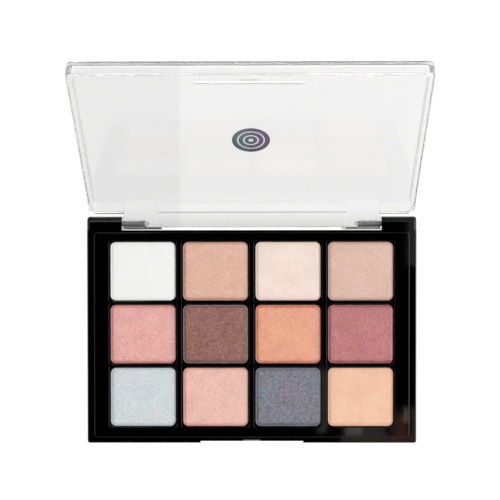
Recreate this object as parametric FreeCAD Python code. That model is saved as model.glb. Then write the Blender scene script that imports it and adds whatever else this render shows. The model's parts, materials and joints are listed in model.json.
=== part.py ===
import FreeCAD, Part
import math
import os

# Twelve-pan eyeshadow palette with a clear hinged lid.
# Frame: origin at the centre of the base's underside, +X right, +Y to the back, +Z up.
# Millimetres. The lid is drawn shut and then turned back to its open stop.

# Base
BASE_WIDTH = 134.0
BASE_DEPTH = 92.3
LEDGE_Z = 7.5
FLOOR_THICKNESS = 1.2
BASE_CORNER_R = 1.0
BASE_TOP_ROUND = 0.5
BASE_FOOT_CHAMFER = 0.5

# Hinge blocks at the two rear corners, and the hinge axis in them
BLOCK_WIDTH = 14.2
BLOCK_REACH = 5.55
BLOCK_ROUND = 2.2
AXIS_INSET = 2.87
AXIS_Z = 4.0
PIN_R = 1.05
PIN_RUNNING_GAP = 0.05
PIN_RECESS = 0.6
PIN_CHAMFER = 0.2

# Front notch for the lid's thumb tab
NOTCH_WIDTH = 41.8
NOTCH_DEPTH = 0.8
CATCH_WIDTH = 7.6
CATCH_DEPTH = 0.35
CATCH_Z = 4.8
CATCH_HEIGHT = 1.2
LEAD_IN_WIDTH = 7.0
LEAD_IN = 0.7

# Deck that holds the pans: a flange on the ledge and a ribbed tray below it
DECK_STEP = 0.8
LEDGE_SIDE = 2.9
LEDGE_FRONT = 2.4
LEDGE_REAR = 0.9
FLANGE_OVERHANG = 1.2
DECK_CORNER_R = 1.2
DECK_EDGE_ROUND = 0.3
FIT_GAP = 0.1
WELL_FLOOR_Z = 4.0
WELL_FLOOR_THICKNESS = 1.0
WELL_GAP_X = 0.6
WELL_GAP_Y = 0.45
WELL_CORNER_R = 0.7
WELL_EDGE_ROUND = 0.15
CORE_RIB = 1.2
CORE_CORNER_R = 1.0

# Pans and pressed powders: four columns, three rows
PAN_WIDTH = 26.35
PAN_LENGTH = 23.75
PAN_HEIGHT = 3.7
PAN_WALL = 0.3
PAN_LIP_ROUND = 0.12
PAN_CORNER_R = 2.2
PAN_FOOT_R = 0.5
PITCH_X = 29.47
PITCH_Y = 25.6
MIDDLE_ROW_Y = -1.7
GLUE_R = 6.0
GLUE_THICKNESS = 0.15
POWDER_BELOW_RIM = 0.3
POWDER_CROWN = 0.25
POWDER_BORDER = 0.45
ROW_NAMES = ("front", "middle", "rear")
COLUMNS = 4

# Lid
LID_WIDTH = 132.85
LID_TOP_Z = 13.6
LID_PLATE = 1.4
LID_FRONT_PROUD = 0.05
LID_RIM_GAP = 0.05
LID_SIDE_WALL = 2.0
LID_FRONT_WALL = 1.5
LID_REAR_WALL = 1.65
LID_REAR_AHEAD = 1.8
LID_FRONT_CORNER_R = 2.2
LID_REAR_CORNER_R = 3.4
LID_INNER_CORNER_R = 1.4
LID_TOP_ROUND = 0.5
LID_CEILING_ROUND = 0.5
LID_OPEN_ANGLE = 124.5
TAB_WIDTH = 40.4
TAB_THICKNESS = 0.75
TAB_DROP = 4.4
TAB_CORNER_R = 0.8
BEAD_WIDTH = 7.0
BEAD_R = 0.3

# Hinge lugs and the web between them
BARREL_R = 2.45
LUG_SIDE_GAP = 0.4
LUG_WIDTH_LOW = 15.8
LUG_WIDTH_HIGH = 13.2
LUG_CORNER_R = 2.7
LUG_BOSS = 1.45
WEB_BACK = 0.6
BORE_DEPTH = 9.2
DRILL_POINT = 1.5

# Foil disc on top of the lid
EMBLEM_R = 7.35
EMBLEM_THICKNESS = 0.1
EMBLEM_FROM_AXIS = 43.8

# Worked out from the driving sizes
HALF_WIDTH = BASE_WIDTH / 2
HALF_DEPTH = BASE_DEPTH / 2
REAR_WALL_Y = HALF_DEPTH - BLOCK_REACH
AXIS_Y = HALF_DEPTH - AXIS_INSET
BLOCK_INNER_X = HALF_WIDTH - BLOCK_WIDTH
DECK_TOP_Z = LEDGE_Z + DECK_STEP
DECK_HALF_X = HALF_WIDTH - LEDGE_SIDE
DECK_FRONT_Y = -HALF_DEPTH + LEDGE_FRONT
DECK_REAR_Y = REAR_WALL_Y - LEDGE_REAR
NOTCH_FACE_Y = -HALF_DEPTH + NOTCH_DEPTH
PAN_FLOOR_Z = WELL_FLOOR_Z + GLUE_THICKNESS
PAN_RIM_Z = PAN_FLOOR_Z + PAN_HEIGHT
RIM_Z = LEDGE_Z + LID_RIM_GAP
LID_HALF_X = LID_WIDTH / 2
LID_FRONT_Y = -HALF_DEPTH - LID_FRONT_PROUD
LID_REAR_Y = AXIS_Y - LID_REAR_AHEAD
CEILING_Z = LID_TOP_Z - LID_PLATE
LUG_OUTER_X = BLOCK_INNER_X - LUG_SIDE_GAP
X_AXIS = FreeCAD.Vector(1, 0, 0)
ORIGIN = FreeCAD.Vector(0, 0, 0)


def box(x0, x1, y0, y1, z0, z1):
    """Box between two corners."""
    return Part.makeBox(x1 - x0, y1 - y0, z1 - z0, FreeCAD.Vector(x0, y0, z0))


def upright_edges(shape, keep=lambda x, y: True):
    """Vertical straight edges whose plan position passes the test."""
    found = []
    for edge in shape.Edges:
        size = edge.BoundBox
        if size.ZLength > 0.1 and size.XLength < 1e-6 and size.YLength < 1e-6:
            if keep(size.Center.x, size.Center.y):
                found.append(edge)
    return found


def level_edges(shape, z):
    """Edges that lie wholly at height z."""
    return [e for e in shape.Edges if abs(e.BoundBox.ZMin - z) < 1e-6 and abs(e.BoundBox.ZMax - z) < 1e-6]


def rounded_block(x0, x1, y0, y1, z0, z1, radius):
    """Box with rounded upright edges."""
    block = box(x0, x1, y0, y1, z0, z1)
    return block.makeFillet(radius, upright_edges(block))


def x_prism(points, x0, x1):
    """Outline in Y and Z, pushed along X from x0 to x1."""
    corners = [FreeCAD.Vector(x0, y, z) for y, z in points]
    face = Part.Face(Part.makePolygon(corners + corners[:1]))
    return face.extrude(FreeCAD.Vector(x1 - x0, 0, 0))


def x_rod(radius, x0, x1, y=AXIS_Y, z=AXIS_Z):
    """Rod along X, on the hinge axis unless told otherwise."""
    return Part.makeCylinder(radius, x1 - x0, FreeCAD.Vector(x0, y, z), X_AXIS)


def mirrored(shape):
    """The same shape on the other side of the middle plane."""
    return shape.mirror(ORIGIN, X_AXIS)


def well_centres():
    """Name, x and y of each pan, front row first, left to right."""
    for row, row_name in enumerate(ROW_NAMES):
        for column in range(COLUMNS):
            x = (column - (COLUMNS - 1) / 2) * PITCH_X
            y = MIDDLE_ROW_Y + (row - 1) * PITCH_Y
            yield f"{row_name}_{column + 1}", x, y


def pan_block(x, y, z0, z1, margin_x, margin_y, radius):
    """Rounded block as large as a pan plus a margin on each side."""
    half_x = PAN_WIDTH / 2 + margin_x
    half_y = PAN_LENGTH / 2 + margin_y
    return rounded_block(x - half_x, x + half_x, y - half_y, y + half_y, z0, z1, radius)


def inside_pan(x, y, z0, z1, inset):
    """Block that follows the pan's outline at a distance inside it."""
    return pan_block(x, y, z0, z1, -inset, -inset, PAN_CORNER_R - inset)


def hinge_block():
    """Left rear corner block, rounded where the lid's rim swings past."""
    block = box(-HALF_WIDTH, -BLOCK_INNER_X, REAR_WALL_Y - BASE_CORNER_R, HALF_DEPTH, 0, LEDGE_Z)
    top_rear = [e for e in level_edges(block, LEDGE_Z) if e.BoundBox.YMin > HALF_DEPTH - 0.01]
    block = block.makeFillet(BLOCK_ROUND, top_rear)
    corner = upright_edges(block, lambda x, y: x < -HALF_WIDTH + 0.01 and y > REAR_WALL_Y)
    return block.makeFillet(BASE_CORNER_R, corner)


def catch_cutter():
    """Groove for the tab's bead, with a sloped lead-in above it."""
    half = CATCH_WIDTH / 2
    low = CATCH_Z - CATCH_HEIGHT / 2
    high = CATCH_Z + CATCH_HEIGHT / 2
    groove = box(-half, half, -HALF_DEPTH, NOTCH_FACE_Y + CATCH_DEPTH, low, high)
    ramp_points = [
        (NOTCH_FACE_Y, LEDGE_Z - LEAD_IN),
        (NOTCH_FACE_Y + LEAD_IN, LEDGE_Z),
        (NOTCH_FACE_Y, LEDGE_Z),
    ]
    ramp = x_prism(ramp_points, -LEAD_IN_WIDTH / 2, LEAD_IN_WIDTH / 2)
    return groove.fuse(ramp)


def base_case():
    """Black outer tray with the hinge blocks, thumb notch and pin holes."""
    tray = box(-HALF_WIDTH, HALF_WIDTH, -HALF_DEPTH, REAR_WALL_Y, 0, LEDGE_Z)
    tray = tray.makeFillet(BASE_CORNER_R, upright_edges(tray, lambda x, y: y < 0))
    left = hinge_block()
    case = tray.fuse([left, mirrored(left)]).removeSplitter()
    front_rim = [e for e in level_edges(case, LEDGE_Z) if e.BoundBox.YMax < REAR_WALL_Y + 0.01
                 and (e.BoundBox.YMin < -HALF_DEPTH + 2 or e.BoundBox.YLength > BASE_DEPTH / 2)]
    case = case.makeFillet(BASE_TOP_ROUND, front_rim)
    case = case.makeChamfer(BASE_FOOT_CHAMFER, level_edges(case, 0))
    pocket_x = DECK_HALF_X - FLANGE_OVERHANG + FIT_GAP
    pocket_front = DECK_FRONT_Y + FLANGE_OVERHANG - FIT_GAP
    pocket_rear = DECK_REAR_Y - FLANGE_OVERHANG + FIT_GAP
    pocket = rounded_block(-pocket_x, pocket_x, pocket_front, pocket_rear,
                           FLOOR_THICKNESS, LEDGE_Z + 1, DECK_CORNER_R)
    half_notch = NOTCH_WIDTH / 2
    notch = box(-half_notch, half_notch, -HALF_DEPTH - 1, NOTCH_FACE_Y, -1, LEDGE_Z + 1)
    left_hole = x_rod(PIN_R, -HALF_WIDTH - 1, -BLOCK_INNER_X + 1)
    return case.cut([pocket, notch, catch_cutter(), left_hole, mirrored(left_hole)])


def pan_frame():
    """Raised deck with twelve wells, cored out underneath."""
    flange = rounded_block(-DECK_HALF_X, DECK_HALF_X, DECK_FRONT_Y, DECK_REAR_Y,
                           LEDGE_Z, DECK_TOP_Z, DECK_CORNER_R)
    flange = flange.makeFillet(DECK_EDGE_ROUND, level_edges(flange, DECK_TOP_Z))
    inset = FLANGE_OVERHANG
    skirt = rounded_block(-DECK_HALF_X + inset, DECK_HALF_X - inset, DECK_FRONT_Y + inset,
                          DECK_REAR_Y - inset, FLOOR_THICKNESS, LEDGE_Z, DECK_CORNER_R)
    wells = []
    cores = []
    core_top = WELL_FLOOR_Z - WELL_FLOOR_THICKNESS
    for _, x, y in well_centres():
        wells.append(pan_block(x, y, WELL_FLOOR_Z, DECK_TOP_Z + 1, WELL_GAP_X, WELL_GAP_Y, WELL_CORNER_R))
        cores.append(pan_block(x, y, FLOOR_THICKNESS - 1, core_top, -CORE_RIB, -CORE_RIB, CORE_CORNER_R))
    frame = flange.fuse(skirt).removeSplitter().cut(wells + cores)
    outer_edge = DECK_HALF_X - DECK_EDGE_ROUND
    mouths = [e for e in level_edges(frame, DECK_TOP_Z) if abs(e.BoundBox.Center.x) < outer_edge - 1
              and DECK_FRONT_Y + 1 < e.BoundBox.Center.y < DECK_REAR_Y - 1]
    return frame.makeFillet(WELL_EDGE_ROUND, mouths)


def pan(x, y):
    """Thin metal cup."""
    cup = inside_pan(x, y, PAN_FLOOR_Z, PAN_RIM_Z, 0)
    cup = cup.makeFillet(PAN_FOOT_R, level_edges(cup, PAN_FLOOR_Z))
    cup = cup.cut(inside_pan(x, y, PAN_FLOOR_Z + PAN_WALL, PAN_RIM_Z + 1, PAN_WALL))
    return cup.makeFillet(PAN_LIP_ROUND, level_edges(cup, PAN_RIM_Z))


def powder(x, y):
    """Pressed cake: a raised field with a lower border all round it."""
    border_z = PAN_RIM_Z - POWDER_BELOW_RIM
    field_z = border_z + POWDER_CROWN
    cake = inside_pan(x, y, PAN_FLOOR_Z + PAN_WALL, border_z, PAN_WALL)
    field = inside_pan(x, y, border_z - 1, field_z, PAN_WALL + POWDER_BORDER)
    field = field.makeChamfer(POWDER_CROWN * 0.9, level_edges(field, field_z))
    return cake.fuse(field).removeSplitter()


def glue_dots():
    """One adhesive dot under each pan."""
    dots = [Part.makeCylinder(GLUE_R, GLUE_THICKNESS, FreeCAD.Vector(x, y, WELL_FLOOR_Z))
            for _, x, y in well_centres()]
    return Part.makeCompound(dots)


def hinge_pin():
    """Left steel pin, from just inside the case's side to inside the lid's lug."""
    inner_x = -LUG_OUTER_X + BORE_DEPTH - PIN_RECESS / 2
    pin = x_rod(PIN_R, -HALF_WIDTH + PIN_RECESS, inner_x)
    ends = [e for e in pin.Edges if e.BoundBox.XLength < 1e-6]
    return pin.makeChamfer(PIN_CHAMFER, ends)


def lid_shell():
    """Shallow clear tray, mouth down."""
    outer = box(-LID_HALF_X, LID_HALF_X, LID_FRONT_Y, LID_REAR_Y, RIM_Z, LID_TOP_Z)
    outer = outer.makeFillet(LID_FRONT_CORNER_R, upright_edges(outer, lambda x, y: y < 0))
    outer = outer.makeFillet(LID_REAR_CORNER_R, upright_edges(outer, lambda x, y: y > 0))
    outer = outer.makeFillet(LID_TOP_ROUND, level_edges(outer, LID_TOP_Z))
    inner_x = LID_HALF_X - LID_SIDE_WALL
    cavity = rounded_block(-inner_x, inner_x, LID_FRONT_Y + LID_FRONT_WALL, LID_REAR_Y - LID_REAR_WALL,
                           RIM_Z - 1, CEILING_Z, LID_INNER_CORNER_R)
    cavity = cavity.makeFillet(LID_CEILING_ROUND, level_edges(cavity, CEILING_Z))
    return outer.cut(cavity)


def thumb_tab():
    """Thin tab that hangs in the base's notch, with a snap bead on its inner face."""
    half = TAB_WIDTH / 2
    inner_y = LID_FRONT_Y + TAB_THICKNESS
    tab = box(-half, half, LID_FRONT_Y, inner_y, RIM_Z - TAB_DROP, RIM_Z + 1)
    lower = [e for e in tab.Edges if e.BoundBox.YLength > TAB_THICKNESS / 2
             and e.BoundBox.XLength < 1e-6 and e.BoundBox.ZMax < RIM_Z]
    tab = tab.makeFillet(TAB_CORNER_R, lower)
    bead = x_rod(BEAD_R, -BEAD_WIDTH / 2, BEAD_WIDTH / 2, inner_y, CATCH_Z)
    return tab.fuse(bead)


def swing_points(points):
    """Offsets from the hinge axis turned into Y and Z, lid shut."""
    return [(AXIS_Y + dy, AXIS_Z + dz) for dy, dz in points]


def table_line(dy):
    """Height above the axis of the line that lies on the table when the lid is laid back."""
    slope = math.tan(math.radians(180 - LID_OPEN_ANGLE))
    return (LID_TOP_Z - AXIS_Z) - (dy + LID_REAR_AHEAD) * slope


def hinge_lug():
    """Left lug: barrel, body up to the lid's rear wall, and a boss inside the lid."""
    rim = RIM_Z - AXIS_Z
    ceiling = CEILING_Z - AXIS_Z
    wall_in = -(LID_REAR_AHEAD + LID_REAR_WALL)
    boss_in = wall_in - LUG_BOSS
    boss_low = DECK_TOP_Z - AXIS_Z + 0.6
    profile = [
        (-BARREL_R, 0),
        (-BARREL_R, rim),
        (wall_in, rim),
        (wall_in, boss_low),
        (boss_in, boss_low + LUG_BOSS),
        (boss_in, ceiling + 0.4),
        (-LID_REAR_AHEAD, LID_TOP_Z - AXIS_Z),
        (BARREL_R, table_line(BARREL_R)),
        (BARREL_R, 0),
    ]
    x0 = -LUG_OUTER_X
    body = x_prism(swing_points(profile), x0, x0 + LUG_WIDTH_LOW)
    body = body.fuse(x_rod(BARREL_R, x0, x0 + LUG_WIDTH_LOW))
    outline = [
        (x0, AXIS_Z - BARREL_R),
        (x0 + LUG_WIDTH_LOW, AXIS_Z - BARREL_R),
        (x0 + LUG_WIDTH_HIGH, CEILING_Z),
        (x0 + LUG_WIDTH_HIGH, LID_TOP_Z),
        (x0, LID_TOP_Z),
    ]
    y0 = AXIS_Y + boss_in
    corners = [FreeCAD.Vector(x, y0, z) for x, z in outline]
    face = Part.Face(Part.makePolygon(corners + corners[:1]))
    taper = face.extrude(FreeCAD.Vector(0, BARREL_R - boss_in, 0))
    return body.common(taper)


def hinge_web():
    """Thin wall between the lugs, ending in the same barrel line."""
    rim = RIM_Z - AXIS_Z
    ceiling = CEILING_Z - AXIS_Z
    wall_in = -(LID_REAR_AHEAD + LID_REAR_WALL)
    half = LUG_OUTER_X - LUG_WIDTH_LOW + 1
    profile = [
        (-BARREL_R, 0),
        (-BARREL_R, rim),
        (wall_in, rim),
        (wall_in, ceiling - 0.7),
        (wall_in - 0.65, ceiling),
        (wall_in - 0.65, ceiling + 0.4),
        (-LID_REAR_AHEAD, ceiling + 0.4),
        (-WEB_BACK, ceiling - 0.9),
        (-WEB_BACK, 0),
    ]
    wall = x_prism(swing_points(profile), -half, half)
    slab = box(-half, half, AXIS_Y - BARREL_R, AXIS_Y - WEB_BACK, AXIS_Z - BARREL_R, AXIS_Z)
    return wall.fuse(x_rod(BARREL_R, -half, half).common(slab))


def pin_bore():
    """Left blind bore with a drill point, a running fit on the pin."""
    radius = PIN_R + PIN_RUNNING_GAP
    end_x = -LUG_OUTER_X + BORE_DEPTH
    bore = x_rod(radius, -LUG_OUTER_X - 1, end_x)
    point = Part.makeCone(radius, 0.1, DRILL_POINT, FreeCAD.Vector(end_x, AXIS_Y, AXIS_Z), X_AXIS)
    return bore.fuse(point)


def opened(shape):
    """Turn a lid piece back from shut to its open stop."""
    turned = shape.copy()
    turned.rotate(FreeCAD.Vector(0, AXIS_Y, AXIS_Z), X_AXIS, -LID_OPEN_ANGLE)
    return turned


def lid():
    """The whole clear moulding, laid back."""
    lug = hinge_lug()
    bore = pin_bore()
    moulding = lid_shell().fuse([thumb_tab(), lug, mirrored(lug), hinge_web()]).removeSplitter()
    return opened(moulding.cut([bore, mirrored(bore)]))


def lid_emblem():
    """Plain foil disc on the lid's outer face."""
    centre = FreeCAD.Vector(0, AXIS_Y - EMBLEM_FROM_AXIS, LID_TOP_Z)
    return opened(Part.makeCylinder(EMBLEM_R, EMBLEM_THICKNESS, centre))


def save(name, shape):
    """Write one named piece and print what it holds."""
    shape.exportStep(f"parts/{name}.step")
    size = shape.BoundBox
    print(f"{name}: solids {len(shape.Solids)}, valid {shape.isValid()}, volume {shape.Volume:.1f}, "
          f"x {size.XMin:.2f} {size.XMax:.2f}, y {size.YMin:.2f} {size.YMax:.2f}, "
          f"z {size.ZMin:.2f} {size.ZMax:.2f}")


def main():
    os.makedirs("parts", exist_ok=True)
    save("base_case", base_case())
    save("pan_frame", pan_frame())
    for name, x, y in well_centres():
        save(f"pan_{name}", pan(x, y))
        save(f"shadow_{name}", powder(x, y))
    save("pan_glue", glue_dots())
    pin = hinge_pin()
    save("hinge_pin_left", pin)
    save("hinge_pin_right", mirrored(pin))
    save("lid", lid())
    save("lid_emblem", lid_emblem())


main()
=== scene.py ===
"""Looks of a twelve-pan eyeshadow palette with a clear hinged lid. Lengths are in metres."""

import json
import math

import bpy
from mathutils import Matrix, Vector, noise


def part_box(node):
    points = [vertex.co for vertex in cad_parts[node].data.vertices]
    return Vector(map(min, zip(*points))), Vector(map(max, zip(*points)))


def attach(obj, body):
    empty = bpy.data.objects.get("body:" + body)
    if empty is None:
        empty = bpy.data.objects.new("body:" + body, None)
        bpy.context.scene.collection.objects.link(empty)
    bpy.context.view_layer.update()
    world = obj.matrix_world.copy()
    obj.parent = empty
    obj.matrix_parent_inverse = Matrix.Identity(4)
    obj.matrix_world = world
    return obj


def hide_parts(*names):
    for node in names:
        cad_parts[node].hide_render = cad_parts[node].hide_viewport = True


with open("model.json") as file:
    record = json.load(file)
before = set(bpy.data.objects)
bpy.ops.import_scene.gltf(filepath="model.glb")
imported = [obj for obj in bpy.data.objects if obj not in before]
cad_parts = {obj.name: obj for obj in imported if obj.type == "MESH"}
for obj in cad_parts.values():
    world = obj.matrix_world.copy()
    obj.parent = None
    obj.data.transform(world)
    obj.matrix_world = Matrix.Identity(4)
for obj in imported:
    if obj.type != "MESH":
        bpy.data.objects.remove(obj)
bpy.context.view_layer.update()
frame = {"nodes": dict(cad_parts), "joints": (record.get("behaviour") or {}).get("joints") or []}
nodes = frame["nodes"]

MM = 0.001

# Camera: straight down but for about a degree, a little right of the middle and behind it
CAMERA_PLACE = (4.41 * MM, 43.92 * MM, 576.23 * MM)
CAMERA_TURN = (-1.15, 0.51, -0.06)
CAMERA_LENS = 100.78
CAMERA_SENSOR = 36.0

# Pressed powder, in millimetres: a low border along the pan's wall, a step, and a nearly flat field.
# Insets are distances in from the edge. A line of deeper colour and painted shade runs inside the border, at
# the step; its tail, solid part and blots are shares of its strength.
STEP_INSETS = (0.01, 0.12, 0.24, 0.34, 0.42, 0.48, 0.54, 0.60, 0.66, 0.74, 0.84, 1.0, 1.25, 1.7, 2.3)
BORDER_DROP = 0.25
STEP_START = 0.36
STEP_END = 0.74
LINE_INSET = 0.50
LINE_HALF_WIDTH = 0.22
LINE_TAIL = 0.45
LINE_TAIL_LENGTH = 0.7
LINE_SOLID = 0.75
LINE_BLOT = 0.6
EDGE_DIP = 0.03
FIELD_DROP = 0.012
UNEVEN_BROAD = 0.018
UNEVEN_FINE = 0.008
CORNER_RADIUS = 1.9
ARC_STEPS = 5
SIDE_STEPS = 40

# Where the first powder's noise starts, and how far from there each next one does
FIRST_SEED = 4.0
SEED_STEP = 11.0

# Powder colours: a painted highlight along the right edges, which face the brighter side of the surround, how
# much brighter than its own colour a powder shows under these lights, and how strongly the border takes its
# own colour
RIGHT_EDGE_HIGHLIGHT = (250, 240, 224)
POWDER_GAIN = 0.985
RIM_SHARE = 0.8

# Lid as laid back. Depths run from the plate's outer face inward, heights from the disc to the lid's front.
OPEN_ANGLE = math.radians(frame["joints"][0]["range_deg"][1])
FRONT_WALL = 43.8 * MM
WALL_START = 1.1 * MM
WALL_END = 5.5 * MM
WALL_FADE = 0.3 * MM
TAB_START = 6.2 * MM
TAB_END = 9.8 * MM
THIN_FADE = 0.2 * MM

# Painted shade on the web behind the rear rim: below this height, darkening between these depths
WEB_HEIGHT = -38.0 * MM
WEB_FADE = 1.0 * MM
WEB_START = 5.0 * MM
WEB_END = 12.0 * MM

# Inner edge of the rear rim: its depths, its heights, and the two lugs that interrupt it
REAR_RIM = (5.96 * MM, 6.09 * MM)
REAR_EDGE = (-41.4 * MM, -40.65 * MM)
LUGS = (38.0 * MM, 52.7 * MM)

# Glossy black plastic
PLASTIC_IOR = 1.49

# Acrylic: a two-tone tint over the plate, which is painted shade for the lid's shadow on the table seen
# through it; the paler front wall and tab, left without it; the darker web, also painted shade; what its
# shadow lets through, and its gloss. The index is below real acrylic's 1.49, which keeps the edges softer.
PLATE_SHADE_DARK = (0.785, 0.785, 0.782, 1)
PLATE_SHADE_LIGHT = (0.805, 0.805, 0.802, 1)
FRONT_PALE = (0.97, 0.97, 0.97, 1)
WEB_SHADE = (0.64, 0.64, 0.635, 1)
SHADOW_TINT = (0.95, 0.955, 0.95, 1)
ACRYLIC_IOR = 1.4
ACRYLIC_HAZE = 0.05
ACRYLIC_CLEAR = 0.94
ACRYLIC_SHINE = (0.15, 0.15, 0.15, 1)

# Painted glow where clear acrylic gathers light: the ends of the plate and the tab, and the inner
# edge of the rear rim. It is part of the material, so it moves with the lid.
PLATE_END = 1.9 * MM
PLATE_END_GLOW = 0.23
TAB_END_GLOW = 0.16
REAR_EDGE_GLOW = 0.55

# Foil disc: rings as shares of its radius, the softness of their edges, their relief in millimetres,
# how strongly they glow with painted light, and the colours from left to right, of the rings and of the rim
RINGS = ((0.0, 0.13), (0.34, 0.42), (0.66, 0.73))
RING_EDGE = 0.02
RING_RELIEF = 0.03
RING_PAINTED_GLOW = 0.4
FOIL_COLOURS = ((16, 132, 126), (54, 82, 126), (138, 62, 146))
RING_COLOUR = (232, 240, 244)
FOIL_RIM = (30, 40, 58)
DISC_THICKNESS = 0.1 * MM
DISC_SEGMENTS = 96

# Table: its half width, how far it is below the palette, where its brighter part starts, and the glow
# of both parts
TABLE_HALF = 3.0
TABLE_DROP = 0.05 * MM
SHEET_EDGE = -29.5 * MM
SHEET_FADE = 0.2 * MM
TABLE_GLOW = 1.0
SHEET_GLOW = 1.09

# Surround: how much brighter the east is than the west, the south than the north, and both sides than
# front and back; the way to the dark part overhead, and where it starts and ends; the pale wall low down
EAST_GAIN = 1.05
NORTH_GAIN = -0.1
SIDES_GAIN = 0.85
DARK_WAY = (0.0, -0.08, 1.0)
DARK_RADIUS = 0.19
DARK_END = 0.30
WALL_LOW = 0.12
WALL_HIGH = 0.30

# Faint lights in the dark part overhead, as slopes from straight up: left, right, front and back sides,
# softness, colour. The flat black faces mirror them, most of them by the front right corner.
PATCHES = (
    (0.1016, 0.1032, -0.1425, -0.1345, 0.0010, (1.70, 1.85, 1.75)),
    (0.0960, 0.1025, -0.1525, -0.1400, 0.0015, (0.75, 0.28, 0.15)),
    (0.0922, 0.0942, -0.1500, -0.1350, 0.0012, (0.38, 0.33, 0.38)),
    (0.0600, 0.0700, -0.1515, -0.1470, 0.0015, (1.50, 1.40, 1.35)),
    (0.0700, 0.0860, -0.1515, -0.1485, 0.0030, (0.55, 0.50, 0.48)),
    (0.0560, 0.0950, -0.1580, -0.1540, 0.0008, (0.60, 0.46, 0.38)),
    (0.0950, 0.1180, -0.1600, -0.1540, 0.0008, (0.70, 0.32, 0.28)),
    (0.1080, 0.1180, -0.1530, -0.1350, 0.0015, (0.60, 0.48, 0.26)),
    (0.1060, 0.1180, -0.0300, 0.0000, 0.0040, (0.45, 0.45, 0.45)),
    (0.0400, 0.0440, -0.1500, -0.1080, 0.0020, (0.62, 0.64, 0.55)),
    (-0.160, -0.0900, 0.0400, 0.9000, 0.0100, (1.20, 1.20, 1.20)),
)

# Light paths: clear acrylic needs many bounces inside
BOUNCES = 32
BOUNCES_IN_ALL = 40


def linear(level):
    """One 0-255 display value as a linear one."""
    share = level / 255
    return share / 12.92 if share <= 0.04045 else ((share + 0.055) / 1.055) ** 2.4


def rgb(red, green, blue, gain=1.0):
    """Display colour as linear RGBA."""
    return tuple(min(1.0, linear(c) * gain) for c in (red, green, blue)) + (1.0,)


class Tree:
    """A node tree, with short calls for the nodes used here."""

    def __init__(self, owner):
        owner.use_nodes = True
        self.nodes = owner.node_tree.nodes
        self.links = owner.node_tree.links

    def add(self, kind, values=None, **settings):
        made = self.nodes.new("ShaderNode" + kind)
        for name, value in settings.items():
            setattr(made, name, value)
        for name, value in (values or {}).items():
            if isinstance(value, bpy.types.NodeSocket):
                self.links.new(value, made.inputs[name])
            else:
                made.inputs[name].default_value = value
        return made

    def place(self):
        """The surface's own coordinates, which turn with the piece."""
        return self.add("TexCoord").outputs["Object"]

    def stretched(self, place, scale):
        """Coordinates scaled by a different amount along each axis."""
        return self.add("Mapping", {"Vector": place, "Scale": scale}).outputs[0]

    def noise(self, place, size, detail=2.0, rough=0.5, offset=0.0):
        """Soft noise from 0 to 1 whose blobs are about as large as size."""
        moved = self.add("Mapping", {"Vector": place, "Location": (offset, offset, offset)}).outputs[0]
        values = {"Vector": moved, "Scale": 1 / size, "Detail": detail, "Roughness": rough}
        return self.add("TexNoise", values).outputs[0]

    def cells(self, place, size):
        """Random value from 0 to 1 for each cell of about that size."""
        cell = self.add("TexVoronoi", {"Vector": place, "Scale": 1 / size}).outputs["Color"]
        return self.add("SeparateColor", {0: cell}).outputs[0]

    def spread(self, value, low, high, to_low, to_high):
        """Value moved from one range to another, clamped."""
        values = {"Value": value, "From Min": low, "From Max": high, "To Min": to_low, "To Max": to_high}
        return self.add("MapRange", values).outputs[0]

    def band(self, value, low, high, soft):
        """One between two values, and zero beyond a soft edge."""
        rise = self.spread(value, low - soft, low, 0.0, 1.0)
        return self.times(rise, self.spread(value, high, high + soft, 1.0, 0.0))

    def sum(self, first, second):
        return self.add("Math", {0: first, 1: second}, operation="ADD").outputs[0]

    def times(self, first, second):
        return self.add("Math", {0: first, 1: second}, operation="MULTIPLY").outputs[0]

    def mix(self, share, first, second, blend="MIX"):
        """Two colours mixed."""
        return self.add("Mix", {0: share, 6: first, 7: second}, data_type="RGBA", blend_type=blend).outputs[2]

    def bump(self, height, depth, strength=1.0):
        """Normal for a relief of that depth."""
        return self.add("Bump", {"Height": height, "Distance": depth, "Strength": strength}).outputs[0]


def principled(name):
    """New material: the material, its tree and its shader."""
    material = bpy.data.materials.new(name)
    tree = Tree(material)
    shader = tree.nodes["Principled BSDF"]
    return material, tree, shader


def feed(tree, shader, **values):
    """Set or link the shader's sockets; an underscore stands for a space."""
    for name, value in values.items():
        socket = shader.inputs[name.replace("_", " ")]
        if isinstance(value, bpy.types.NodeSocket):
            tree.links.new(value, socket)
        else:
            socket.default_value = value


def black_plastic(name, tone, rough, wave):
    """Glossy moulded black plastic: faint flow marks in colour, gloss and flatness."""
    material, tree, shader = principled(name)
    place = tree.place()
    flow = tree.noise(place, 14 * MM, 3.0)
    fine = tree.noise(place, 0.35 * MM, 2.0, offset=3.0)
    dark = tuple(c * 0.7 for c in tone) + (1.0,)
    light = tuple(c * 1.3 for c in tone) + (1.0,)
    colour = tree.mix(flow, dark, light)
    broad = tree.spread(flow, 0.3, 0.7, rough * 0.8, rough * 1.1)
    gloss = tree.sum(broad, tree.spread(fine, 0.3, 0.7, 0.0, 0.015))
    height = tree.sum(tree.times(flow, wave), tree.times(fine, 0.02))
    feed(tree, shader, Base_Color=colour, Roughness=gloss, Normal=tree.bump(height, 0.02 * MM, 0.5))
    feed(tree, shader, IOR=PLASTIC_IOR)
    return material


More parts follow.
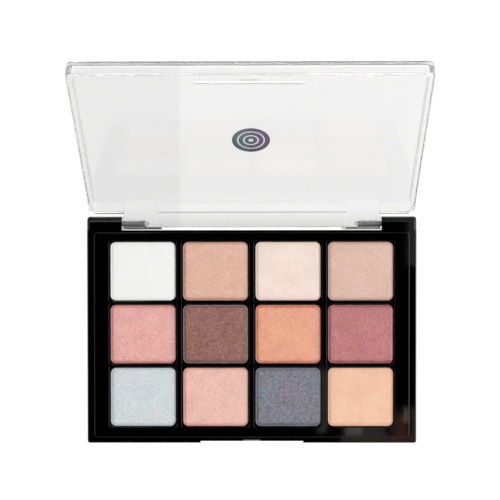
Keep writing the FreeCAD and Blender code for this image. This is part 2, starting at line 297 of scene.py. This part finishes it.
def pan_metal(name, tone):
    """Thin drawn aluminium with fine rolling marks, its lip dusted with its own powder."""
    material, tree, shader = principled(name)
    place = tree.place()
    marks = tree.noise(tree.stretched(place, (1.0, 14.0, 6.0)), 1.6 * MM, 4.0, 0.6)
    patch = tree.noise(place, 5 * MM, 2.0)
    metal = tree.mix(patch, (0.62, 0.63, 0.65, 1), (0.76, 0.76, 0.76, 1))
    rough = tree.spread(marks, 0.3, 0.7, 0.26, 0.42)
    dust = tree.spread(tree.noise(place, 1.2 * MM, 4.0, 0.7, offset=6.0), 0.25, 0.6, 0.55, 0.95)
    colour = tree.mix(dust, metal, tone)
    clean = tree.spread(dust, 0.5, 1.0, 0.5, 0.0)
    feed(tree, shader, Base_Color=colour, Roughness=rough, Normal=tree.bump(marks, 0.01 * MM, 0.5))
    feed(tree, shader, Metallic=clean)
    return material


def pin_steel():
    """Turned steel wire."""
    material, tree, shader = principled("pin_steel")
    place = tree.place()
    rings = tree.noise(tree.stretched(place, (20.0, 1.0, 1.0)), 2 * MM, 3.0, 0.6)
    colour = tree.mix(rings, (0.42, 0.43, 0.45, 1), (0.58, 0.58, 0.59, 1))
    rough = tree.spread(rings, 0.3, 0.7, 0.22, 0.36)
    feed(tree, shader, Base_Color=colour, Roughness=rough, Normal=tree.bump(rings, 0.01 * MM, 0.4))
    feed(tree, shader, Metallic=1.0)
    return material


def glue():
    """Dried milky adhesive."""
    material, tree, shader = principled("glue_milky")
    blobs = tree.noise(tree.place(), 1.5 * MM, 3.0)
    colour = tree.mix(blobs, (0.62, 0.58, 0.48, 1), (0.78, 0.75, 0.66, 1))
    rough = tree.spread(blobs, 0.3, 0.7, 0.3, 0.5)
    feed(tree, shader, Base_Color=colour, Roughness=rough, Normal=tree.bump(blobs, 0.1 * MM, 0.5))
    return material


def clear_acrylic():
    """Clear moulded acrylic: faint waves, a slight haze, a tint of painted shade that spares the front wall
    and tab, darker painted shade on the web and painted glow at the ends.
    """
    material, tree, shader = principled("clear_acrylic")
    place = tree.place()
    wave = tree.noise(place, 16 * MM, 1.0)
    cloud = tree.noise(place, 30 * MM, 1.0, offset=2.0)
    low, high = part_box("lid_emblem")
    inward = Vector((0, -math.sin(OPEN_ANGLE), -math.cos(OPEN_ANGLE)))
    upward = Vector((0, -math.cos(OPEN_ANGLE), math.sin(OPEN_ANGLE)))
    face = (low + high).dot(inward) / 2
    middle = (low + high).dot(upward) / 2
    depth = tree.add("VectorMath", {0: place, 1: inward}, operation="DOT_PRODUCT").outputs["Value"]
    height = tree.add("VectorMath", {0: place, 1: upward}, operation="DOT_PRODUCT").outputs["Value"]

    at_front = tree.spread(height, middle + FRONT_WALL, middle + FRONT_WALL + THIN_FADE, 0.0, 1.0)
    wall = tree.band(depth, face + WALL_START, face + WALL_END, WALL_FADE)
    tab = tree.spread(depth, face + TAB_START, face + TAB_START + THIN_FADE, 0.0, 1.0)
    # Painted shade: the plate's tint stands for the lid's shadow on the table seen through it; front wall and
    # tab stay nearly clear
    plate_shade = tree.mix(cloud, PLATE_SHADE_DARK, PLATE_SHADE_LIGHT)
    colour = tree.mix(tree.times(tree.sum(wall, tab), at_front), plate_shade, FRONT_PALE)
    # Painted shade, darkening the web behind the rear rim
    at_rear = tree.spread(height, middle + WEB_HEIGHT - WEB_FADE, middle + WEB_HEIGHT, 1.0, 0.0)
    behind = tree.spread(depth, face + WEB_START, face + WEB_END, 0.0, 1.0)
    colour = tree.mix(tree.times(behind, at_rear), colour, WEB_SHADE)

    # Painted glow at the ends of the plate and tab and along the rear rim's inner edge
    plate_end = tree.band(depth, face + WALL_START, face + PLATE_END, WALL_FADE)
    tab_end = tree.spread(depth, face + TAB_END, face + TAB_END + THIN_FADE, 0.0, 1.0)
    front_glow = tree.sum(tree.times(plate_end, PLATE_END_GLOW), tree.times(tab_end, TAB_END_GLOW))
    rear_rim = tree.band(depth, face + REAR_RIM[0], face + REAR_RIM[1], 0.04 * MM)
    rear_edge = tree.band(height, middle + REAR_EDGE[0], middle + REAR_EDGE[1], 0.1 * MM)
    across = tree.add("SeparateXYZ", {0: place}).outputs[0]
    from_middle = tree.add("Math", {0: across}, operation="ABSOLUTE").outputs[0]
    on_lugs = tree.band(from_middle, LUGS[0], LUGS[1], 0.1 * MM)
    off_lugs = tree.sum(1.0, tree.times(on_lugs, -1.0))
    rear_glow = tree.times(tree.times(rear_rim, rear_edge), tree.times(off_lugs, REAR_EDGE_GLOW))
    glow = tree.sum(tree.times(front_glow, at_front), rear_glow)

    feed(tree, shader, Base_Color=colour, Specular_Tint=ACRYLIC_SHINE)
    feed(tree, shader, Normal=tree.bump(wave, 0.02 * MM, 0.2))
    feed(tree, shader, Transmission_Weight=ACRYLIC_CLEAR, Roughness=ACRYLIC_HAZE, IOR=ACRYLIC_IOR)
    feed(tree, shader, Emission_Color=(1, 1, 1, 1), Emission_Strength=glow)
    in_shadow = tree.add("LightPath").outputs["Is Shadow Ray"]
    see = tree.add("BsdfTransparent", {"Color": SHADOW_TINT}).outputs[0]
    both = tree.add("MixShader", {0: in_shadow, 1: shader.outputs[0], 2: see}).outputs[0]
    tree.links.new(both, tree.nodes["Material Output"].inputs["Surface"])
    return material


def ring_profile():
    """Places along the radius and the height there, 0 or 1, for each side of each ring."""
    spots = []
    for start, end in RINGS:
        spots += [(start - RING_EDGE, 0), (start + RING_EDGE, 1), (end - RING_EDGE, 1), (end + RING_EDGE, 0)]
    return spots


def foil(radius):
    """Iridescent foil with a plain ring motif whose rings glow with painted light, in the disc's own
    coordinates.
    """
    material, tree, shader = principled("emblem_foil")
    place = tree.place()
    parts = tree.add("SeparateXYZ", {0: place})
    across = tree.spread(parts.outputs[0], -radius, radius, 0.0, 1.0)
    wander = tree.spread(tree.noise(place, 3 * MM, 3.0), 0.3, 0.7, -0.08, 0.08)
    ramp = tree.add("ValToRGB", {0: tree.sum(across, wander)})
    stops = ramp.color_ramp.elements
    stops[0].position = 0.0
    stops[0].color = rgb(*FOIL_COLOURS[0])
    stops[1].position = 1.0
    stops[1].color = rgb(*FOIL_COLOURS[2])
    middle = stops.new(0.5)
    middle.color = rgb(*FOIL_COLOURS[1])
    flat = tree.add("CombineXYZ", {0: parts.outputs[0], 1: parts.outputs[1]}).outputs[0]
    length = tree.add("VectorMath", {0: flat}, operation="LENGTH").outputs["Value"]
    reach = tree.times(length, 1 / radius)
    rings = tree.add("ValToRGB", {0: reach})
    marks = rings.color_ramp
    marks.elements[0].position = 0.0
    marks.elements[0].color = (0, 0, 0, 1)
    marks.elements[1].position = 0.999
    marks.elements[1].color = (0, 0, 0, 1)
    for spot, level in ring_profile():
        marks.elements.new(spot).color = (level, level, level, 1)
    colour = tree.mix(rings.outputs[0], ramp.outputs[0], rgb(*RING_COLOUR))
    edge = tree.spread(reach, 0.88, 0.97, 0.0, 0.75)
    colour = tree.mix(edge, colour, rgb(*FOIL_RIM))
    grain = tree.noise(place, 0.3 * MM, 3.0)
    rough = tree.spread(grain, 0.3, 0.7, 0.22, 0.38)
    feed(tree, shader, Base_Color=colour, Roughness=rough, Normal=tree.bump(grain, 0.01 * MM, 0.5))
    # Painted glow on the pale rings
    ring_glow = tree.times(tree.add("RGBToBW", {0: rings.outputs[0]}).outputs[0], RING_PAINTED_GLOW)
    feed(tree, shader, Metallic=0.35, Emission_Color=(0.92, 0.96, 1, 1), Emission_Strength=ring_glow)
    return material


def pressed_powder(name, look):
    """Pressed powder: cloudy tone, mottled grain, flakes with a painted glint, a deeper line with painted
    shade inside the border, and a painted highlight along the right edges.
    """
    material, tree, shader = principled(name)
    place = tree.place()
    tone = rgb(*look["tone"], POWDER_GAIN)
    cloud = tree.noise(place, 7 * MM, 3.0, 0.55, look["seed"])
    colour = tree.mix(tree.spread(cloud, 0.35, 0.65, 0.0, 1.0), tone, rgb(*look["second"], POWDER_GAIN))
    mottle = tree.noise(place, look["mottle"] * MM, 4.0, 0.75, look["seed"] + 1)
    grain = tree.noise(place, 0.5 * MM, 2.0, 0.6, look["seed"] + 2)
    flakes = tree.cells(place, look["flake"] * MM)
    rough_tone = tree.sum(
        tree.spread(mottle, 0.25, 0.75, -look["grain"], look["grain"]),
        tree.spread(grain, 0.25, 0.75, -look["grain"] * 0.8, look["grain"] * 0.8),
    )
    # Flakes brightened in colour: a painted glint
    glint = tree.spread(flakes, 0.80, 1.0, 0.0, look["glint"])
    sparkle = tree.sum(tree.sum(rough_tone, glint), -look["glint"] * 0.1)
    shades = [tree.sum(tree.times(sparkle, share), 1.0) for share in look["hue_grain"]]
    grains = tree.add("CombineColor", dict(enumerate(shades))).outputs[0]
    colour = tree.mix(1.0, colour, grains, "MULTIPLY")
    # Deeper colour with painted shade at the step inside the border, set per side
    line = tree.add("Attribute", attribute_name="line").outputs["Fac"]
    border = tree.add("Attribute", attribute_name="border").outputs["Fac"]
    colour = tree.mix(line, colour, rgb(*look["deep_and_shade"], POWDER_GAIN))
    colour = tree.mix(tree.times(border, RIM_SHARE), colour, rgb(*look["rim"], POWDER_GAIN))
    # Painted highlight along the right edges of the border
    right_highlight = tree.add("Attribute", attribute_name="right_highlight").outputs["Fac"]
    colour = tree.mix(right_highlight, colour, rgb(*RIGHT_EDGE_HIGHLIGHT, POWDER_GAIN))
    if look["flecks"]:
        blobs = tree.noise(place, 1.1 * MM, 3.0, 0.7, look["seed"] + 5)
        spots = tree.spread(blobs, 0.60, 0.72, 0.0, look["flecks"])
        colour = tree.mix(spots, colour, rgb(*look["deep_and_shade"], POWDER_GAIN))
    fine = tree.sum(tree.times(grain, 0.8), tree.times(flakes, look["glint"]))
    height = tree.sum(tree.times(mottle, 0.6), fine)
    rough = tree.spread(flakes, 0.7, 1.0, look["rough"], look["rough"] * 0.8)
    feed(tree, shader, Base_Color=colour, Roughness=rough)
    feed(tree, shader, Normal=tree.bump(height, 0.03 * MM, look["relief"]))
    feed(tree, shader, Sheen_Weight=0.08, Sheen_Roughness=0.5)
    return material


def side_point(low, high, radius, side, step, steps):
    """Point on a rounded rectangle. A side runs from the middle of one corner's arc to the next."""
    arc = ARC_STEPS
    straight = steps - 2 * arc
    half = ((high[0] - low[0]) / 2, (high[1] - low[1]) / 2)
    if side % 2:
        half = half[::-1]
    turn = math.radians(45)
    if step <= arc:
        angle = -turn * (1 - step / arc)
        x = half[0] - radius + radius * math.cos(angle)
        y = -(half[1] - radius) + radius * math.sin(angle)
    elif step >= arc + straight:
        angle = turn * (step - arc - straight) / arc
        x = half[0] - radius + radius * math.cos(angle)
        y = half[1] - radius + radius * math.sin(angle)
    else:
        x = half[0]
        y = (half[1] - radius) * (2 * (step - arc) / straight - 1)
    for _ in range(side):
        x, y = -y, x
    return Vector(((low[0] + high[0]) / 2 + x, (low[1] + high[1]) / 2 + y))


def blended(edges, u, v):
    """Point inside four edge curves, from the bottom, right, top and left edges in turn."""
    bottom, right, top, left = edges
    steps = len(bottom) - 1
    a, b = u / steps, v / steps
    sides = (1 - b) * bottom[u] + b * top[u] + (1 - a) * left[v] + a * right[v]
    corners = ((1 - a) * (1 - b) * bottom[0] + a * (1 - b) * bottom[-1]
               + (1 - a) * b * top[0] + a * b * top[-1])
    return sides - corners


def smooth_step(value, low, high):
    share = min(1.0, max(0.0, (value - low) / (high - low)))
    return share * share * (3 - 2 * share)


def powder_cake(node, look):
    """Pressed cake that stands for one CAD powder: border, step, uneven field, closed underneath."""
    low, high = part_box(node)
    steps = SIDE_STEPS + 2 * ARC_STEPS
    verts, line, border, right_highlight = [], [], [], []

    def height(inset, spot):
        seed = look["seed"] * 7
        near = Vector((spot.x / MM, spot.y / MM, seed))
        ragged = inset + look["ragged"] * noise.noise(near * 1.3) * smooth_step(inset, 0.1, 0.4)
        step = smooth_step(ragged, STEP_START, STEP_END)
        dip = EDGE_DIP * (1 - smooth_step(inset, 0.8, 3.0))
        uneven = UNEVEN_BROAD * noise.noise(near * 0.35) + UNEVEN_FINE * noise.noise(near * 1.1)
        return high.z - MM * (BORDER_DROP * (1 - step) + (dip + FIELD_DROP - uneven) * step)

    def keep(inset, spot):
        gaps = (spot.x - low.x, high.x - spot.x, high.y - spot.y, spot.y - low.y)
        near = [1 / (gap / MM + 0.3) ** 2 for gap in gaps]
        # How strongly the deeper colour and painted shade lie along the nearest sides
        side = sum(n * s for n, s in zip(near, look["sides"])) / sum(near)
        there = Vector((spot.x / MM, spot.y / MM, look["seed"]))
        blot = LINE_SOLID + LINE_BLOT * noise.noise(there * 0.9)
        fall = math.exp(-((inset - LINE_INSET) / LINE_HALF_WIDTH) ** 2)
        if inset > LINE_INSET:
            fall = max(fall, LINE_TAIL * math.exp((LINE_INSET - inset) / LINE_TAIL_LENGTH))
        verts.append((spot.x, spot.y, height(inset, spot)))
        line.append(min(1.0, max(0.0, side * blot * fall)))
        border.append(1 - smooth_step(inset, STEP_START - 0.14, STEP_START + 0.1))
        # Painted highlight: strongest on the border next to the right edge
        at_right = smooth_step(near[1] / sum(near), 0.55, 0.85) * (1 - smooth_step(inset, 0.25, 0.55))
        right_highlight.append(min(1.0, max(0.0, look["right_highlight"] * at_right * (0.4 + blot * 0.6))))

    for inset in STEP_INSETS:
        d = inset * MM
        radius = max(CORNER_RADIUS * MM - d * 0.7, 0.5 * MM)
        for side in range(4):
            for step in range(steps):
                spot = side_point((low.x + d, low.y + d), (high.x - d, high.y - d), radius, side, step, steps)
                keep(inset, spot)
    ring = 4 * steps
    rings = len(STEP_INSETS)
    faces = []
    for r in range(rings - 1):
        for i in range(ring):
            j = (i + 1) % ring
            faces.append((r * ring + i, r * ring + j, (r + 1) * ring + j, (r + 1) * ring + i))
    base = (rings - 1) * ring
    last = [Vector(verts[base + i][:2]) for i in range(ring)]

    def on_ring(side, step):
        """Index of a vertex on the innermost ring. Sides run right, top, left, bottom."""
        return base + (side * steps + step) % ring

    bottom = [on_ring(3, i) for i in range(steps + 1)]
    right = [on_ring(0, i) for i in range(steps + 1)]
    top = [on_ring(1, steps - i) for i in range(steps + 1)]
    left = [on_ring(2, steps - i) for i in range(steps + 1)]
    edges = [[last[index - base] for index in curve] for curve in (bottom, right, top, left)]
    grid = {}
    for u in range(steps + 1):
        grid[u, 0] = bottom[u]
        grid[u, steps] = top[u]
        grid[0, u] = left[u]
        grid[steps, u] = right[u]
    for u in range(1, steps):
        for v in range(1, steps):
            spot = blended(edges, u, v)
            gap = min(spot.x - low.x, high.x - spot.x, spot.y - low.y, high.y - spot.y)
            grid[u, v] = len(verts)
            keep(gap / MM, spot)
    for u in range(steps):
        for v in range(steps):
            faces.append((grid[u, v], grid[u + 1, v], grid[u + 1, v + 1], grid[u, v + 1]))
    foot = len(verts)
    for i in range(ring):
        verts.append((verts[i][0], verts[i][1], low.z))
        line.append(0.0)
        border.append(1.0)
        right_highlight.append(0.0)
    for i in range(ring):
        j = (i + 1) % ring
        faces.append((foot + i, foot + j, j, i))
    faces.append(tuple(foot + i for i in reversed(range(ring))))
    mesh = bpy.data.meshes.new(node)
    mesh.from_pydata(verts, [], faces)
    for name, values in (("line", line), ("border", border), ("right_highlight", right_highlight)):
        mesh.attributes.new(name, "FLOAT", "POINT").data.foreach_set("value", values)
    for face in mesh.polygons:
        face.use_smooth = True
    cake = bpy.data.objects.new("cake_" + node.removeprefix("shadow_"), mesh)
    bpy.context.scene.collection.objects.link(cake)
    mesh.materials.append(pressed_powder(cake.name, look))
    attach(cake, "base")
    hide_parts(node)


def emblem_disc():
    """Foil disc with raised plain rings on its outer face, turned with the open lid."""
    low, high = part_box("lid_emblem")
    turn = Matrix.Rotation(-OPEN_ANGLE, 4, "X")
    radius = (high.x - low.x) / 2
    half = DISC_THICKNESS / 2
    centre = (low + high) / 2
    segments = DISC_SEGMENTS
    profile = [(0.0, RING_RELIEF * MM)]
    profile += [(spot, up * RING_RELIEF * MM) for spot, up in ring_profile() if spot > 0.01]
    profile += [(0.90, 0.0), (0.97, -0.01 * MM), (1.0, -0.04 * MM)]
    verts = [(0, 0, half + profile[0][1])]
    faces = []
    for share, up in profile[1:]:
        for i in range(segments):
            angle = 2 * math.pi * i / segments
            reach = radius * share
            verts.append((reach * math.cos(angle), reach * math.sin(angle), half + up))
    for i in range(segments):
        faces.append((0, 1 + i, 1 + (i + 1) % segments))
    for r in range(len(profile) - 2):
        for i in range(segments):
            j = (i + 1) % segments
            inner, outer = 1 + r * segments, 1 + (r + 1) * segments
            faces.append((inner + i, outer + i, outer + j, inner + j))
    rim = 1 + (len(profile) - 2) * segments
    foot = len(verts)
    for i in range(segments):
        verts.append((verts[rim + i][0], verts[rim + i][1], -half))
    for i in range(segments):
        j = (i + 1) % segments
        faces.append((rim + i, foot + i, foot + j, rim + j))
    faces.append(tuple(foot + i for i in reversed(range(segments))))
    mesh = bpy.data.meshes.new("emblem")
    mesh.from_pydata(verts, [], faces)
    mesh.materials.append(foil(radius))
    disc = bpy.data.objects.new("emblem_disc", mesh)
    disc.matrix_world = Matrix.Translation(centre) @ turn
    bpy.context.scene.collection.objects.link(disc)
    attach(disc, "lid")
    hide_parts("lid_emblem")


# What most powders share: sizes of mottle and flakes in millimetres, strength of grain and painted glints,
# gloss, relief, raggedness of the step, dark flecks, grain by channel, and the painted highlight at the right
PLAIN = {
    "mottle": 0.85, "flake": 0.45, "grain": 0.13, "glint": 0.12, "rough": 0.55, "relief": 0.6,
    "ragged": 0.05, "flecks": 0.0, "hue_grain": (0.6, 1.2, 1.4), "right_highlight": 0.7,
}

# Each powder: tone and second tone, the colour of the deeper line with painted shade inside its border (also
# of its dark flecks), the border itself, and how strong that line is along the left, right, top and bottom
# edges
LOOKS = {
    "rear_1": {
        "tone": (249, 249, 246), "second": (248, 249, 247), "deep_and_shade": (216, 216, 214),
        "rim": (248, 248, 246),
        "grain": 0.004, "glint": 0.0, "rough": 0.85, "relief": 0.25, "hue_grain": (1, 1, 1),
        "sides": (0.6, 0.3, 0.1, 0.1),
    },
    "rear_2": {
        "tone": (233, 188, 167), "second": (226, 180, 158), "deep_and_shade": (176, 84, 64),
        "rim": (208, 150, 128),
        "grain": 0.16, "sides": (1.0, 0.35, 0.1, 0.8),
    },
    "rear_3": {
        "tone": (251, 231, 220), "second": (245, 223, 211), "deep_and_shade": (224, 184, 166),
        "rim": (242, 216, 204),
        "grain": 0.06, "sides": (0.6, 0.2, 0.1, 0.2),
    },
    "rear_4": {
        "tone": (230, 193, 177), "second": (225, 186, 169), "deep_and_shade": (180, 138, 124),
        "rim": (206, 166, 150),
        "grain": 0.14, "flecks": 0.45, "sides": (0.5, 0.3, 0.3, 0.3),
    },
    "middle_1": {
        "tone": (240, 180, 172), "second": (231, 171, 164), "deep_and_shade": (168, 72, 84),
        "rim": (216, 128, 124),
        "grain": 0.21, "sides": (0.8, 0.7, 0.5, 0.6),
    },
    "middle_2": {
        "tone": (151, 105, 95), "second": (143, 98, 89), "deep_and_shade": (66, 30, 26), "rim": (132, 104, 96),
        "grain": 0.5, "right_highlight": 0.3, "sides": (1.0, 0.8, 0.6, 1.0),
    },
    "middle_3": {
        "tone": (242, 173, 142), "second": (233, 164, 134), "deep_and_shade": (190, 60, 26),
        "rim": (222, 124, 88),
        "grain": 0.18, "sides": (0.8, 0.7, 1.0, 0.9),
    },
    "middle_4": {
        "tone": (200, 126, 126), "second": (190, 118, 119), "deep_and_shade": (124, 24, 34),
        "rim": (168, 84, 90),
        "grain": 0.28, "sides": (1.0, 0.5, 0.5, 1.0),
    },
    "front_1": {
        "tone": (217, 224, 226), "second": (210, 217, 220), "deep_and_shade": (158, 170, 176),
        "rim": (196, 206, 212),
        "grain": 0.145, "hue_grain": (1.05, 1.0, 0.95), "sides": (0.8, 0.5, 0.1, 0.5),
    },
    "front_2": {
        "tone": (245, 197, 183), "second": (236, 187, 174), "deep_and_shade": (190, 92, 84),
        "rim": (230, 160, 148),
        "grain": 0.155, "sides": (0.8, 0.4, 0.1, 0.4),
    },
    "front_3": {
        "tone": (121, 129, 142), "second": (130, 122, 134), "deep_and_shade": (56, 56, 68),
        "rim": (112, 114, 124),
        "grain": 0.46, "glint": 0.45, "ragged": 0.12, "relief": 1.0, "hue_grain": (1, 1, 1),
        "right_highlight": 0.4, "sides": (0.9, 0.5, 0.5, 1.0),
    },
    "front_4": {
        "tone": (252, 205, 174), "second": (246, 197, 166), "deep_and_shade": (224, 140, 98),
        "rim": (248, 196, 160),
        "grain": 0.075, "glint": 0.04, "rough": 0.75, "relief": 0.3, "sides": (0.6, 0.4, 0.1, 0.3),
    },
}


def give(material, *names):
    """One material for CAD nodes that keep their shape."""
    for name in names:
        nodes[name].data.materials.clear()
        nodes[name].data.materials.append(material)


give(black_plastic("case_black", (0.0003, 0.0003, 0.0004), 0.02, 1.0), "base_case")
give(black_plastic("frame_black", (0.0004, 0.0004, 0.0005), 0.02, 0.7), "pan_frame")
give(glue(), "pan_glue")
give(pin_steel(), "hinge_pin_left", "hinge_pin_right")
give(clear_acrylic(), "lid")
for order, (spot_name, own) in enumerate(LOOKS.items()):
    look = {**PLAIN, **own, "seed": SEED_STEP * order + FIRST_SEED}
    powder_cake("shadow_" + spot_name, look)
    give(pan_metal("pan_aluminium_" + spot_name, rgb(*look["rim"], 0.85)), "pan_" + spot_name)
emblem_disc()


def floor():
    """Plain pale table lit from underneath, a little more on the right."""
    half = TABLE_HALF
    z = -TABLE_DROP
    corners = [(-half, -half, z), (half, -half, z), (half, half, z), (-half, half, z)]
    mesh = bpy.data.meshes.new("floor")
    mesh.from_pydata(corners, [], [(0, 1, 2, 3)])
    table = bpy.data.objects.new("floor", mesh)
    bpy.context.scene.collection.objects.link(table)
    material, tree, shader = principled("floor_pale")
    paper = tree.noise(tree.place(), 40 * MM, 2.0)
    colour = tree.mix(paper, (0.030, 0.030, 0.030, 1), (0.034, 0.034, 0.034, 1))
    across = tree.add("SeparateXYZ", {0: tree.place()}).outputs[0]
    glow = tree.spread(across, SHEET_EDGE - SHEET_FADE, SHEET_EDGE + SHEET_FADE, TABLE_GLOW, SHEET_GLOW)
    feed(tree, shader, Base_Color=colour, Roughness=0.9, Specular_IOR_Level=0.0)
    feed(tree, shader, Emission_Color=(1, 1, 1, 1), Emission_Strength=glow)
    mesh.materials.append(material)


def sky():
    """Soft surround: dark overhead, bright on the right, dimmer on the left, pale round the horizon."""
    world = bpy.data.worlds.new("studio")
    bpy.context.scene.world = world
    tree = Tree(world)
    direction = tree.add("TexCoord").outputs["Generated"]
    parts = tree.add("SeparateXYZ", {0: direction})
    level = tree.add("VectorMath", {0: direction, 1: (1, 1, 0)}, operation="MULTIPLY").outputs[0]
    around = tree.add("VectorMath", {0: level}, operation="NORMALIZE").outputs[0]
    turn = tree.add("SeparateXYZ", {0: around})
    east, north = turn.outputs[0], turn.outputs[1]
    squares = tree.sum(tree.times(east, east), tree.times(tree.times(north, north), -1.0))
    sides = tree.times(squares, SIDES_GAIN)
    slant = tree.sum(tree.times(east, EAST_GAIN), tree.times(north, NORTH_GAIN))
    ring = tree.sum(slant, tree.sum(sides, 1.0))
    dark_way = Vector(DARK_WAY).normalized()
    apart = tree.add("VectorMath", {0: direction, 1: dark_way}, operation="DISTANCE").outputs["Value"]
    dome = tree.times(ring, tree.spread(apart, DARK_RADIUS, DARK_END, 0.0, 1.0))
    low_down = tree.spread(parts.outputs[2], WALL_LOW, WALL_HIGH, 1.0, 0.0)
    wall = tree.times(tree.sum(1.0, tree.times(dome, -1.0)), low_down)
    strength = tree.sum(dome, wall)
    lean = tree.add("Math", {0: parts.outputs[0], 1: parts.outputs[2]}, operation="DIVIDE").outputs[0]
    rise = tree.add("Math", {0: parts.outputs[1], 1: parts.outputs[2]}, operation="DIVIDE").outputs[0]
    above = tree.spread(parts.outputs[2], 0.5, 0.51, 0.0, 1.0)
    light = tree.add("CombineXYZ", {0: strength, 1: strength, 2: strength}).outputs[0]
    for low_x, high_x, low_y, high_y, soft, colour in PATCHES:
        patch = tree.times(tree.spread(lean, low_x - soft, low_x, 0.0, 1.0),
                           tree.spread(lean, high_x, high_x + soft, 1.0, 0.0))
        patch = tree.times(patch, tree.spread(rise, low_y - soft, low_y, 0.0, 1.0))
        patch = tree.times(patch, tree.spread(rise, high_y, high_y + soft * 3, 1.0, 0.0))
        share = tree.times(patch, above)
        light = tree.add("VectorMath", {0: share, 1: colour, 2: light}, operation="MULTIPLY_ADD").outputs[0]
    tree.links.new(light, tree.nodes["Background"].inputs["Color"])


def camera():
    """Looks down, with the palette's back towards the top of the picture."""
    lens = bpy.data.cameras.new("camera")
    lens.lens = CAMERA_LENS
    lens.sensor_width = CAMERA_SENSOR
    eye = bpy.data.objects.new("camera", lens)
    eye.location = CAMERA_PLACE
    eye.rotation_euler = [math.radians(angle) for angle in CAMERA_TURN]
    bpy.context.scene.collection.objects.link(eye)
    bpy.context.scene.camera = eye


floor()
sky()
camera()
bpy.context.scene.view_settings.view_transform = "Standard"
paths = bpy.context.scene.cycles
paths.max_bounces = BOUNCES_IN_ALL
paths.glossy_bounces = BOUNCES
paths.transmission_bounces = BOUNCES
paths.transparent_max_bounces = BOUNCES
